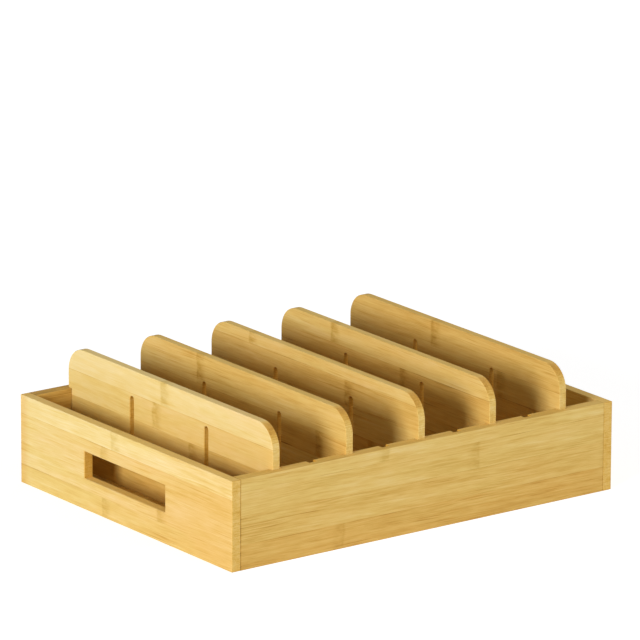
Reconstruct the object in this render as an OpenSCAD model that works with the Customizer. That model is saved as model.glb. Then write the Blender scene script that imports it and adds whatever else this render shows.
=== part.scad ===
// Low tray of laminated bamboo boards with upright dividers in routed slots.
// The origin is on the table under the middle of the tray.
// X runs along the tray, Y from its front to its back, Z upwards.

/* [Tray] */
// Length over the two end panels
tray_l = 360; // [330:1:420]
// Depth over the front and back panels
tray_w = 280; // [220:1:340]
// Height of the four panels
tray_h = 71; // [64:1:90]
// Thickness of the end panels
end_t = 8; // [7:0.5:12]
// Thickness of the front and back panels
side_t = 10; // [9:0.5:14]
// Radius sanded on the edges of the boards
edge_r = 0.5; // [0.3:0.1:1]

/* [Handle holes] */
// Width of the hole in each end panel
handle_w = 107; // [90:1:130]
// Height of the hole
handle_h = 21.5; // [18:0.5:28]

/* [Floor] */
// Thickness of the floor panel
floor_t = 5; // [3:0.5:6]
// Height of its underside above the table
floor_z = 4; // [3:0.5:8]
// Depth of the groove that holds it all round
groove_d = 4; // [2:0.5:4.5]
// Room over the floor panel and past its edges in the groove
groove_play = 0.2; // [0.1:0.05:0.4]

/* [Slots] */
// Slots in each long panel
slot_count = 9; // [5:2:9]
// From the inside of an end panel to the middle of the first slot
end_bay = 36.4; // [30:0.1:44]
// Depth of each slot
slot_d = 5; // [3:0.5:6]
// Play of a divider in its slot, on each face and at each end
slot_play = 0.3; // [0.2:0.05:0.5]

/* [Dividers] */
// Thickness of each divider
divider_t = 6.5; // [5:0.5:8]
// Height of each divider above the floor panel
divider_h = 96; // [86:1:120]
// Radius of its two top corners
corner_r = 20; // [10:1:30]
// Width of the two upright slits in it
slit_w = 5; // [4.5:0.5:8]
// Length of the slits, half-way up the divider
slit_l = 54; // [40:1:64]
// Distance between the two slits
slit_spacing = 98; // [70:1:140]

/* [Corner dowels] */
// Diameter of the dowels that pin the end panels on
dowel_d = 5; // [4:0.5:6]
// Length of each dowel
dowel_l = 20; // [16:0.5:24]
// How far a dowel goes into the end panel
dowel_in_end = 4.5; // [3:0.5:5]
// From the floor panel, or from the top edge, to the middle of a dowel
dowel_inset = 14; // [8:1:18]
// Glue line round each dowel
glue_play = 0.05; // [0.02:0.01:0.1]
// Room for glue past each end of a dowel
glue_room = 0.3; // [0.2:0.1:0.8]

/* [Hidden] */
$fn = 48;
eps = 0.01;
face_tone = [0.93, 0.80, 0.50];
side_tone = [0.85, 0.70, 0.42];
floor_tone = [0.80, 0.64, 0.37];
divider_tone = [0.90, 0.75, 0.46];
dowel_tone = [0.86, 0.76, 0.58];

// The room between the panels
inner_l = tray_l - 2 * end_t;
inner_w = tray_w - 2 * side_t;
floor_top = floor_z + floor_t;

// Slots are spread evenly between the first and the last
slot_w = divider_t + 2 * slot_play;
slot_pitch = (inner_l - 2 * end_bay) / (slot_count - 1);
function slot_x(slot) = end_bay - inner_l / 2 + slot * slot_pitch;

// A divider stands in every second slot
divider_count = (slot_count + 1) / 2;
divider_l = inner_w + 2 * (slot_d - slot_play);
function divider_x(number) = slot_x(2 * (number - 1));

// Each corner has a low and a high dowel, in the middle of the long panel's thickness
ENDS = [["left", -1], ["right", 1]];
SIDES = [["front", -1], ["back", 1]];
LEVELS = [["low", floor_top + dowel_inset], ["high", tray_h - dowel_inset]];
dowel_y = (tray_w - side_t) / 2;
dowel_in_side = dowel_l - dowel_in_end;
dowel_tip = dowel_d / 10;

function dowel_name(side, end, level) = str("dowel_", side[0], "_", end[0], "_", level[0]);

// Centred rectangle whose corners are rounded like a sanded board
module sanded_rect(size) {
    square([size.x - 2 * edge_r, size.y], center = true);
    square([size.x, size.y - 2 * edge_r], center = true);
    for (sx = [-1, 1], sy = [-1, 1])
        translate([sx * (size.x / 2 - edge_r), sy * (size.y / 2 - edge_r)])
            circle(edge_r);
}

// Standing board centred on the origin, sanded on all twelve edges
module sanded_board(size) {
    intersection() {
        linear_extrude(size.z, center = true)
            sanded_rect([size.x, size.y]);
        rotate([90, 0, 0])
            linear_extrude(size.y, center = true)
                sanded_rect([size.x, size.z]);
        rotate([90, 0, 90])
            linear_extrude(size.x, center = true)
                sanded_rect([size.y, size.z]);
    }
}

// Space for the floor panel: its own outline with a little room past its edges and above it
module floor_groove() {
    reach = 2 * (groove_d + groove_play);
    translate([-(inner_l + reach) / 2, -(inner_w + reach) / 2, floor_z])
        cube([inner_l + reach, inner_w + reach, floor_t + groove_play]);
}

// Blind bores for the dowels, each one shared by an end panel and a long panel
module dowel_bores() {
    bore_l = dowel_l + 2 * glue_room;
    for (side = SIDES, end = ENDS, level = LEVELS)
        mirror([end[1] < 0 ? 1 : 0, 0, 0])
            translate([inner_l / 2 - dowel_in_side - glue_room, side[1] * dowel_y, level[1]])
                rotate([0, 90, 0])
                    cylinder(h = bore_l, r = dowel_d / 2 + glue_play);
}

// Half section of a hole through a board, from its middle outwards, with both mouths eased
function eased_half(half_w, half_t) = [
    [0, -half_t - eps],
    [half_w + edge_r + eps, -half_t - eps],
    [half_w, -half_t + edge_r],
    [half_w, half_t - edge_r],
    [half_w + edge_r + eps, half_t + eps],
    [0, half_t + eps]
];

// Whole section of the same hole: width along X, thickness of the board along Y
module eased_section(width, thickness) {
    for (side = [0, 1])
        mirror([side, 0])
            polygon(eased_half(width / 2, thickness / 2));
}

// Handle hole through an end panel: square corners, all its edges eased on both faces
module handle_hole() {
    reach = 2 * (edge_r + eps);
    intersection() {
        rotate([0, 0, 90])
            linear_extrude(handle_h + reach, center = true)
                eased_section(handle_w, end_t);
        rotate([-90, -90, 0])
            linear_extrude(handle_w + reach, center = true)
                eased_section(handle_h, end_t);
    }
}

// End panel: full depth of the tray, so its end grain shows at the front and the back
module end_panel(way) {
    color(face_tone)
        difference() {
            translate([way * (tray_l - end_t) / 2, 0, tray_h / 2])
                difference() {
                    sanded_board([end_t, tray_w, tray_h]);
                    handle_hole();
                }
            floor_groove();
            dowel_bores();
        }
}

// Slots of one long panel, from the floor groove out through the top edge
module slots(way) {
    slot_y = way > 0 ? inner_w / 2 - eps : -inner_w / 2 - slot_d;
    for (slot = [0:slot_count - 1])
        translate([slot_x(slot) - slot_w / 2, slot_y, floor_z])
            cube([slot_w, slot_d + eps, tray_h]);
}

// Front or back panel: fitted between the end panels, slotted on its inner face
module side_panel(way) {
    color(side_tone)
        difference() {
            translate([0, way * (tray_w - side_t) / 2, tray_h / 2])
                rotate([90, 0, 90])
                    linear_extrude(inner_l, center = true)
                        sanded_rect([side_t, tray_h]);
            slots(way);
            floor_groove();
            dowel_bores();
        }
}

// Floor: one thin panel held in the grooves of all four panels
module floor_panel() {
    length = inner_l + 2 * groove_d;
    depth = inner_w + 2 * groove_d;
    color(floor_tone)
        translate([-length / 2, -depth / 2, floor_z])
            cube([length, depth, floor_t]);
}

// One rounded top corner of a divider: its sanded edge swept round a quarter turn
module divider_corner() {
    rotate([90, 0, 90])
        rotate_extrude(angle = 90)
            intersection() {
                sanded_rect([2 * corner_r, divider_t]);
                translate([0, -divider_t / 2])
                    square([corner_r, divider_t]);
            }
}

// Solid board of a divider, standing on the origin
module divider_board() {
    shoulder_h = divider_h - corner_r;
    linear_extrude(shoulder_h)
        sanded_rect([divider_t, divider_l]);
    translate([0, 0, shoulder_h])
        rotate([90, 0, 0])
            linear_extrude(divider_l - 2 * corner_r, center = true)
                sanded_rect([divider_t, 2 * corner_r]);
    for (flip = [0, 1])
        mirror([0, flip, 0])
            translate([0, divider_l / 2 - corner_r, shoulder_h])
                divider_corner();
}

// Upright slit through a divider, with a round top and bottom
module slit() {
    straight = slit_l - slit_w;
    rotate([0, 0, 90])
        linear_extrude(straight, center = true)
            eased_section(slit_w, divider_t);
    for (up = [-1, 1])
        translate([0, 0, up * straight / 2])
            rotate([0, 90, 0])
                rotate_extrude()
                    polygon(eased_half(slit_w / 2, divider_t / 2));
}

// Divider: a loose board that stands on the floor panel, its ends in a pair of slots
module divider(number) {
    color(divider_tone)
        translate([divider_x(number), 0, floor_top])
            difference() {
                divider_board();
                for (way = [-1, 1])
                    translate([0, way * slit_spacing / 2, divider_h / 2])
                        slit();
            }
}

// Dowel: a short round peg with chamfered tips, glued across a corner joint
module dowel(side, end, level) {
    color(dowel_tone)
        mirror([end[1] < 0 ? 1 : 0, 0, 0])
            translate([inner_l / 2 - dowel_in_side, side[1] * dowel_y, level[1]])
                rotate([0, 90, 0])
                    rotate_extrude()
                        polygon([
                            [0, 0],
                            [dowel_d / 2 - dowel_tip, 0],
                            [dowel_d / 2, dowel_tip],
                            [dowel_d / 2, dowel_l - dowel_tip],
                            [dowel_d / 2 - dowel_tip, dowel_l],
                            [0, dowel_l]
                        ]);
}

end_panel(-1);  // end_panel_left
end_panel(1);  // end_panel_right
side_panel(-1);  // side_panel_front
side_panel(1);  // side_panel_back
floor_panel();
for (number = [1:divider_count])
    divider(number);
for (side = SIDES, end = ENDS, level = LEVELS)
    dowel(side, end, level);
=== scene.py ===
from math import radians

import bpy
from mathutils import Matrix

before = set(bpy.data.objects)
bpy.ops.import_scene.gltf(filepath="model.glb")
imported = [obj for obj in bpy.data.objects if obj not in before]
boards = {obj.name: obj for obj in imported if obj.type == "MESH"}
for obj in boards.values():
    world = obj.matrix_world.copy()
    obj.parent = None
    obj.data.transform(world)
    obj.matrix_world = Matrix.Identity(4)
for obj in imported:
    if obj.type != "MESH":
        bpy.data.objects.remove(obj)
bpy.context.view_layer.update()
bpy.ops.object.select_all(action="DESELECT")


# Floor panel: one thin sheet of flat bamboo strips glued edge to edge, held in a groove all round.
# Every board of the tray is cut from such sheets, so its wood is worked out here for all of them.

class Wood:
    """A socket of a wood's node tree, on which sums are written as on numbers."""

    def __init__(self, tree, socket=None):
        self.tree, self.socket = tree, socket

    def node(self, kind, settings=None, inputs=None, output=0):
        made = self.tree.nodes.new(kind)
        for name, value in (settings or {}).items():
            if name == "stops":
                set_stops(made.color_ramp, value)
            elif name == "steps":
                made.color_ramp.interpolation = "CONSTANT"
                set_stops(made.color_ramp, value)
            else:
                setattr(made, name, value)
        for name, value in (inputs or {}).items():
            if isinstance(value, Wood):
                self.tree.links.new(value.socket, made.inputs[name])
            else:
                made.inputs[name].default_value = value
        return Wood(self.tree, made.outputs[output] if made.outputs else None)

    def sibling(self, output):
        return Wood(self.tree, self.socket.node.outputs[output])

    def math(self, operation, *values, clamp=False):
        settings = {"operation": operation, "use_clamp": clamp}
        return self.node("ShaderNodeMath", settings, dict(enumerate(values)))

    def __add__(self, other):
        return self.math("ADD", self, other)

    def __radd__(self, other):
        return self.math("ADD", other, self)

    def __sub__(self, other):
        return self.math("SUBTRACT", self, other)

    def __rsub__(self, other):
        return self.math("SUBTRACT", other, self)

    def __mul__(self, other):
        return self.math("MULTIPLY", self, other)

    def __rmul__(self, other):
        return self.math("MULTIPLY", other, self)

    def __truediv__(self, other):
        return self.math("DIVIDE", self, other)

    def __abs__(self):
        return self.math("ABSOLUTE", self)

    def clamped(self):
        return self.math("ADD", self, 0.0, clamp=True)

    def rising(self, low, high):
        """0 below low, 1 above high, smooth between."""
        return self.node("ShaderNodeMapRange", {"interpolation_type": "SMOOTHSTEP"},
                         {"Value": self, "From Min": low, "From Max": high})

    def mixed(self, colour, share, blend="MIX"):
        """This colour turned into another by a share."""
        return self.node("ShaderNodeMix", {"data_type": "RGBA", "blend_type": blend},
                         {"Factor": share, "A": self, "B": colour}, output="Result")

    def stained(self, colour, share):
        """This colour seen through a clear stain of another, by a share."""
        return self.mixed(colour, share, "MULTIPLY")


def set_stops(ramp, stops):
    while len(ramp.elements) > 1:
        ramp.elements.remove(ramp.elements[-1])
    ramp.elements[0].position, ramp.elements[0].color = stops[0]
    for place, colour in stops[1:]:
        ramp.elements.new(place).color = colour


def srgb(red, green, blue):
    """A colour as it is seen, 0 to 255, in the linear light that a shader takes."""
    def linear(value):
        value /= 255
        return value / 12.92 if value <= 0.04045 else ((value + 0.055) / 1.055) ** 2.4
    return (linear(red), linear(green), linear(blue), 1.0)


WOOD_TONES = [
    (0.00, srgb(126, 86, 36)),
    (0.15, srgb(173, 130, 61)),
    (0.30, srgb(201, 161, 82)),
    (0.45, srgb(215, 180, 100)),
    (0.60, srgb(225, 196, 119)),
    (0.75, srgb(231, 207, 142)),
    (1.00, srgb(239, 222, 175)),
]
AMBER = srgb(243, 203, 149)
OLIVE = srgb(222, 212, 172)
# Deep colour of end grain, also used for painted shade in slits, holes and rounded corners
END_GRAIN_AND_SHADE_DEEP = srgb(242, 208, 105)
# Golden colour of sawn edges, partly their own and partly painted light on the top edges
SAWN_GOLD_AND_LIGHT = srgb(240, 198, 108)
END_TONE = 0.66
# Tone that the painted shade on the up-facing part of rounded corners darkens towards
ARC_SHADE_TONE = 0.05

GLOSS = 0.16
GRAIN_DEPTH = 0.00012

# Places and reaches in mm
MM = 1000
INTERNODE = 352
KNUCKLE_REACH = 10
KNUCKLE_EDGE = (1.5, 5.5)
RING_PLACE, RING_HALF = 2.8, 1.1
SEAM_HALF = 0.25
GLUE_LINE = 0.8
BROWNED_OVER = 12
# Painted shade on the walls of slits and holes fades out between these distances from a board's ends
CUT_SHADE_WITHIN = (30, 20)


def bamboo(name, along, across, span, run, strips, seed, slope=0.0, figure=1.0, warming=0.0,
           knuckles=1.0, ends=0.25, edges=0.3, edge_light_and_shade=0.03, browned=None, butted=None):
    """Laminated bamboo. span: where the board lies across its strips, in mm, run: along them.
    A strip is its lower edge, its tone, where its knuckle stands along the grain and how amber it is.
    slope and figure: how the fibres lie and how strongly they show. knuckles: how strongly they show.
    warming: more amber towards the high end of the run. browned: browner past this place along it.
    ends, edges: how deep the end grain and how golden the long edges are, the gold partly their own
    colour and partly painted light. edge_light_and_shade: how pale the edges are, as painted light, and
    below 0 how dark, as painted shade.
    butted: the ends at plus and minus this place are glued to another board."""
    material = bpy.data.materials.new(name)
    material.use_nodes = True
    material.node_tree.nodes.clear()
    wood = Wood(material.node_tree)

    # Place on the board in mm: u along the grain, v across the strips, w through the thickness
    axes = wood.node("ShaderNodeTexCoord", output="Object")
    axes = wood.node("ShaderNodeSeparateXYZ", inputs={"Vector": axes})
    through = ({"X", "Y", "Z"} - {along, across}).pop()
    u, v, w = (axes.sibling(axis) * MM for axis in (along, across, through))
    length, width = run[1] - run[0], span[1] - span[0]

    # Chart of the strips, read by the place across them; jump takes each to another part of the noise
    steps = [((low - span[0]) / width, (tone, (knuckle - run[0]) / length, amber, 1))
             for low, tone, knuckle, amber in strips]
    chart = wood.node("ShaderNodeValToRGB", {"steps": steps}, {"Fac": (v - span[0]) / width}, "Color")
    chart = wood.node("ShaderNodeSeparateColor", inputs={"Color": chart})
    strip_tone, strip_knuckle, strip_amber = (chart.sibling(part) for part in ("Red", "Green", "Blue"))
    jump = strip_knuckle * 900 + strip_tone * 400 + seed * 57

    def noise(u_size, v_size, w_size, shift, detail=2.0, across_from=v):
        """Between -0.5 and 0.5, in patches of a size in mm along, across and through the board."""
        spot = wood.node("ShaderNodeCombineXYZ", inputs={
            "X": (u + jump) / u_size, "Y": across_from / v_size + shift, "Z": w / w_size + shift})
        return wood.node("ShaderNodeTexNoise", inputs={
            "Vector": spot, "Scale": 1.0, "Detail": detail, "Roughness": 0.55}) - 0.5

    # Knuckle: where a joint of the cane was planed through, an olive patch with one sharper edge,
    # short dark flecks and a broken dark ring line
    crooked = u - (strip_knuckle * length + run[0]) + noise(60, 11, 11, 5.3) * 5
    off = wood.math("WRAP", crooked, INTERNODE / 2, -INTERNODE / 2)
    near = off.rising(-KNUCKLE_REACH, 0) * (1 - off.rising(*KNUCKLE_EDGE))
    near = near * (0.7 + noise(8.0, 4.0, 4.0, 61.7, 4.0) * 3).clamped() * knuckles
    flecks = near * noise(6.0, 0.9, 0.9, 77.7).rising(0.02, 0.16)
    ring = (1 - abs(off - RING_PLACE) / RING_HALF).clamped()
    ring = ring * (0.5 + noise(30, 2.5, 2.5, 9.9) * 4).clamped() * knuckles

    # Fibres run nearly straight, with broken thin dark lines among them
    wander = v + u * slope + noise(120, 30, 30, 3.1, 1.0) * 5 + near * noise(9.0, 6.0, 6.0, 33.1) * 3
    bands = noise(130, 5.0, 5.0, 11.7, 2.0, wander)
    streaks = noise(40, 1.3, 1.3, 23.9, 3.0, wander)
    fibres = noise(14, 0.45, 0.45, 37.3, 2.0, wander)
    clouds = noise(60, 14, 14, 71.3, 2.0)
    patches = noise(18, 5.0, 5.0, 29.7, 2.0)
    amber = (strip_amber + clouds * 1.2 + (u - run[0]) * (warming / length)).clamped()
    if browned:
        amber = amber + (u - browned).rising(0, BROWNED_OVER) * 0.8
    lined = (0.20 + amber * 0.4 + noise(70, 9, 9, 15.5, 2.0) * 3.5).clamped()
    lines = noise(42, 0.85, 0.85, 51.1, 1.0, wander).rising(0.03, 0.20) * lined

    # Which way a surface faces: sawn edges and end grain are deeper in colour. Painted shade darkens
    # the walls of the slits and handle holes and the up-facing part of rounded corners; the sawn edges
    # get painted light, and painted shade on the long panels.
    facing = wood.node("ShaderNodeNewGeometry", output="True Normal")
    facing = wood.node("ShaderNodeSeparateXYZ", inputs={"Vector": facing})
    sawn = (1 - abs(facing.sibling(through))).rising(0.35, 0.75)
    on_end = abs(facing.sibling(along)).rising(0.4, 0.9)
    # Painted shade on the walls of the slits and handle holes: the end-facing faces away from the
    # board's ends
    cut_shade = on_end * (1 - abs(u).rising(*(length / 2 - place for place in CUT_SHADE_WITHIN)))
    # Painted shade on rounded corners, stronger where they face up or down
    arc_shade = abs(facing.sibling(along) * facing.sibling(across)).rising(0.1, 0.4)
    arc_shade = arc_shade * abs(facing.sibling(across)).rising(0.1, 0.9)
    saw_lines = noise(300, 0.8, 9, 91.9, 2.0) * on_end

    # Painted shade darkens the walls of slits and holes and the up-facing part of rounded corners; sawn
    # edges are paler as painted light, and darker on the long panels as painted shade
    tone = (strip_tone + clouds * 0.34 + patches * 0.20 - near * 0.07 - flecks * 0.08 - ring * 0.05
            + (bands * 0.28 + streaks * 0.24 + fibres * 0.28 - lines * 0.17) * figure
            + saw_lines * 0.7 + sawn * edge_light_and_shade - cut_shade * 0.04
            + (END_TONE - strip_tone) * on_end * 0.7 + (ARC_SHADE_TONE - strip_tone) * arc_shade * 0.7)
    if butted:
        glued = (1 - (butted - abs(u)) / GLUE_LINE).clamped()
        tone = tone - glued * 0.26
    seams = sum((1 - abs(v - low) / SEAM_HALF).clamped() for low, *_ in strips[1:])
    seams = seams * (0.45 + noise(40, 300, 300, 83.3) * 5).clamped()
    tone = tone - seams * 0.34
    colour = wood.node("ShaderNodeValToRGB", {"stops": WOOD_TONES}, {"Fac": tone.clamped()}, "Color")
    colour = colour.stained(AMBER, amber * (1 - on_end) * 0.45)
    colour = colour.stained(OLIVE, (near * 0.65 + ring * 0.2).clamped())
    # Sawn edges: golden edge grain, partly painted light on the top edges
    colour = colour.mixed(SAWN_GOLD_AND_LIGHT, sawn * (1 - on_end) * edges)
    # Deeper colour: the end grain's own, plus painted shade on the walls of slits and holes and on
    # rounded corners
    deep = on_end * ends + cut_shade * (0.75 - ends) + arc_shade * 0.25
    colour = colour.stained(END_GRAIN_AND_SHADE_DEEP, deep.clamped())

    grain = fibres * 0.6 + streaks * 0.4 - lines * 0.4 + saw_lines - seams * 0.5
    normal = wood.node("ShaderNodeBump", inputs={
        "Strength": 0.35, "Distance": GRAIN_DEPTH, "Height": grain})
    finish = wood.node("ShaderNodeBsdfPrincipled", inputs={
        "Base Color": colour,
        "Roughness": (0.58 - fibres * 0.25 + lines * 0.1).clamped(),
        "Specular IOR Level": GLOSS,
        "Normal": normal,
    })
    wood.node("ShaderNodeOutputMaterial", inputs={"Surface": finish})
    return material


def cut_from(board, material):
    boards[board].data.materials.clear()
    boards[board].data.materials.append(material)


cut_from("floor_panel", bamboo(
    "floor_bamboo", "X", "Y", (-134, 134), (-176, 176),
    [(-134, .43, -40, .45), (-118, .51, 70, .35), (-98, .40, -90, .60), (-78, .47, 20, .45),
     (-58, .53, -20, .30), (-38, .41, 110, .55), (-18, .49, -70, .45), (2, .44, 40, .60),
     (22, .52, -120, .35), (42, .42, 0, .50), (62, .49, 90, .40), (82, .40, -55, .60),
     (102, .50, 60, .35), (122, .44, -10, .50)],
    seed=9))


# Front and back panels: the two long boards, slotted inside, strips one above the other.
# They stand between the end panels and are glued to them.

PANEL_SPAN = (0, 71)
LONG_RUN, LONG_HALF = (-180, 180), 172
# Painted shade: the long panels' sawn edges darker
LONG_EDGE_PAINTED_SHADE = -0.15

cut_from("side_panel_front", bamboo(
    "front_panel_bamboo", "X", "Z", PANEL_SPAN, LONG_RUN,
    [(0, .49, -80, .60), (19.5, .54, 176, .35), (40.2, .56, 48, .25), (60.9, .60, -38, .20)],
    seed=1, slope=0.012, figure=1.4, knuckles=0.55, edges=0.4, edge_light_and_shade=LONG_EDGE_PAINTED_SHADE,
    butted=LONG_HALF))
cut_from("side_panel_back", bamboo(
    "back_panel_bamboo", "X", "Z", PANEL_SPAN, LONG_RUN,
    [(0, .53, 30, .55), (11.5, .46, -60, .65), (31.8, .54, 95, .45), (52.1, .46, -12, .60)],
    seed=2, slope=-0.008, figure=1.5, knuckles=0.7, edges=0.4, edge_light_and_shade=LONG_EDGE_PAINTED_SHADE,
    butted=LONG_HALF))


# End panels: boards over the whole depth of the tray, each with a handle hole.
# Their end grain shows in a narrow upright strip at each corner.

END_RUN = (-140, 140)

cut_from("end_panel_left", bamboo(
    "left_panel_bamboo", "Y", "Z", PANEL_SPAN, END_RUN,
    [(0, .65, 26, 1.0), (15.5, .73, -47, 1.20), (35.8, .69, 28, 1.20), (56.1, .78, 14, .65)],
    seed=3, slope=0.006, figure=1.3, warming=-1.20, knuckles=0.7, ends=0.5, edges=0.7, browned=126))
cut_from("end_panel_right", bamboo(
    "right_panel_bamboo", "Y", "Z", PANEL_SPAN, END_RUN,
    [(0, .58, -70, .30), (18.5, .50, 15, .50), (38.8, .62, -35, .25), (59.1, .55, 60, .35)],
    seed=4, slope=-0.010, figure=1.3, ends=0.5, edges=0.7))


# Dowels: short round pegs of plain hardwood, two in each corner joint.
# They are glued in blind bores and out of sight, so their wood is left plain.

DOWEL_PALE, DOWEL_DEEP = srgb(232, 211, 172), srgb(206, 178, 136)
DOWEL_GRAIN = (25, 900, 900)

material = bpy.data.materials.new("dowel_hardwood")
material.use_nodes = True
material.node_tree.nodes.clear()
wood = Wood(material.node_tree)
spot = wood.node("ShaderNodeTexCoord", output="Object")
spot = wood.node("ShaderNodeMapping", inputs={"Vector": spot, "Scale": DOWEL_GRAIN})
grain = wood.node("ShaderNodeTexNoise", inputs={"Vector": spot, "Scale": 1.0, "Detail": 3.0})
colour = wood.node(
    "ShaderNodeValToRGB", {"stops": [(0.3, DOWEL_DEEP), (0.7, DOWEL_PALE)]}, {"Fac": grain}, "Color")
finish = wood.node("ShaderNodeBsdfPrincipled", inputs={
    "Base Color": colour, "Roughness": 0.6, "Specular IOR Level": GLOSS})
wood.node("ShaderNodeOutputMaterial", inputs={"Surface": finish})
for name in boards:
    if name.startswith("dowel_"):
        cut_from(name, material)


# Dividers: five loose boards with rounded top corners and two slits, stood in the slots.
# Each comes from another place of the sheet, so its strips and knuckles are its own.

DIVIDER_SPAN, DIVIDER_RUN = (9, 105), (-135, 135)

cut_from("divider_1", bamboo(
    "divider_1_bamboo", "Y", "Z", DIVIDER_SPAN, DIVIDER_RUN,
    [(9, .42, -60, .90), (25.4, .38, 70, 1.10), (45.7, .52, -30, .75), (66, .66, 18, .72),
     (86.3, .77, 7, .32)],
    seed=5, slope=-0.010, figure=0.80, warming=-0.80, knuckles=0.85, ends=0.3))
for number, seed, slope, strips in (
    (2, 6, 0.008, [(9, .50, 40, .50), (20.1, .47, -50, .60), (40.4, .55, 20, .45),
                   (60.7, .48, -100, .65), (81.0, .57, 55, .45)]),
    (3, 7, 0.012, [(9, .50, -20, .50), (14.7, .53, 90, .50), (35.0, .46, -75, .65),
                   (55.3, .57, 30, .45), (75.6, .51, -45, .60), (95.9, .61, 80, .40)]),
    (4, 8, -0.006, [(9, .55, 10, .45), (28.0, .47, -90, .60), (48.3, .52, 45, .50),
                    (68.6, .49, -25, .60), (88.9, .60, 65, .40)]),
    (5, 10, 0.010, [(9, .50, 60, .50), (22.6, .55, -35, .40), (42.9, .46, 85, .60),
                    (63.2, .54, -60, .45), (83.5, .50, 25, .50)]),
):
    cut_from(f"divider_{number}", bamboo(
        f"divider_{number}_bamboo", "Y", "Z", DIVIDER_SPAN, DIVIDER_RUN, strips,
        seed=seed, slope=slope, figure=1.2))


# Studio: a plain pale floor that keeps the tray's shadow, one strong soft lamp low on the left,
# three weak ones at the front, the right and the back, and a little light from all round.

FLOOR_SIZE = 40
FLOOR_GREY = (0.80, 0.80, 0.80, 1)
FLOOR_SEEN_GREY = (0.52, 0.525, 0.57, 1)
GLOW_BY_TRAY, GLOW_FAR_OFF = (0.74, 0.74, 0.74, 1), (0.90, 0.90, 0.90, 1)
GLOW_RISES = (0.35, 1.2)
ROUND_LIGHT, ROUND_STRENGTH = (1.0, 0.98, 0.86, 1), 0.23
CAMERA_PLACE = (-3.0960, -4.2073, 1.6233)
CAMERA_TURN = (74.0781, -0.2551, -36.3050)
CAMERA_SENSOR, CAMERA_LENS = 36, 397.9

bpy.ops.mesh.primitive_plane_add(size=FLOOR_SIZE, location=(0, 0, 0))
floor = bpy.context.object
floor.name = "studio_floor"
material = bpy.data.materials.new("studio_floor_paint")
material.use_nodes = True
material.node_tree.nodes.clear()
paint = Wood(material.node_tree)
matt = paint.node("ShaderNodeBsdfDiffuse", inputs={"Color": FLOOR_GREY})
place = paint.node("ShaderNodeTexCoord", output="Object")
reach = paint.node("ShaderNodeVectorMath", {"operation": "LENGTH"}, {0: place}, "Value")
glow = paint.node("ShaderNodeMix", {"data_type": "RGBA"}, {
    "Factor": reach.rising(*GLOW_RISES), "A": GLOW_BY_TRAY, "B": GLOW_FAR_OFF}, "Result")
glow = paint.node("ShaderNodeEmission", inputs={"Color": glow})
matt_seen = paint.node("ShaderNodeBsdfDiffuse", inputs={"Color": FLOOR_SEEN_GREY})
seen = paint.node("ShaderNodeAddShader", inputs={0: matt_seen, 1: glow})
rays = paint.node("ShaderNodeLightPath")
direct = rays.sibling("Is Camera Ray").math(
    "MAXIMUM", rays.sibling("Is Camera Ray"), rays.sibling("Is Glossy Ray"))
direct = direct.math("MAXIMUM", direct, rays.sibling("Is Transmission Ray"))
surface = paint.node("ShaderNodeMixShader", inputs={0: direct, 1: matt, 2: seen})
paint.node("ShaderNodeOutputMaterial", inputs={"Surface": surface})
floor.data.materials.append(material)

world = bpy.data.worlds.new("studio")
world.use_nodes = True
bpy.context.scene.world = world
background = world.node_tree.nodes["Background"]
background.inputs["Color"].default_value = ROUND_LIGHT
background.inputs["Strength"].default_value = ROUND_STRENGTH


def lamp(name, place, turn, size, power, colour):
    """A square soft lamp; turned by its angles in degrees, it shines down its own -Z."""
    bpy.ops.object.light_add(type="AREA", location=place, rotation=[radians(angle) for angle in turn])
    bpy.context.object.name = name
    light = bpy.context.object.data
    light.size, light.energy, light.color = size, power, colour


lamp("key_lamp", (-3.6, -1.3, 1.06), (74.5, 0, -70), 1.25, 131, (1.0, 0.98, 0.95))
lamp("front_lamp", (0.3, -3.5, 1.2), (71, 0, 5), 1.6, 18, (1.0, 0.98, 0.92))
lamp("right_lamp", (2.6, -2.6, 2.6), (54.7, 0, 45), 1.6, 46, (1.0, 0.98, 0.92))
lamp("back_lamp", (3.2, 1.6, 2.4), (56, 0, 117), 2.0, 25, (1.0, 0.98, 0.92))

bpy.ops.object.camera_add(location=CAMERA_PLACE, rotation=[radians(angle) for angle in CAMERA_TURN])
camera = bpy.context.object
camera.data.sensor_width = CAMERA_SENSOR
camera.data.lens = CAMERA_LENS
bpy.context.scene.camera = camera
bpy.context.scene.view_settings.view_transform = "Standard"
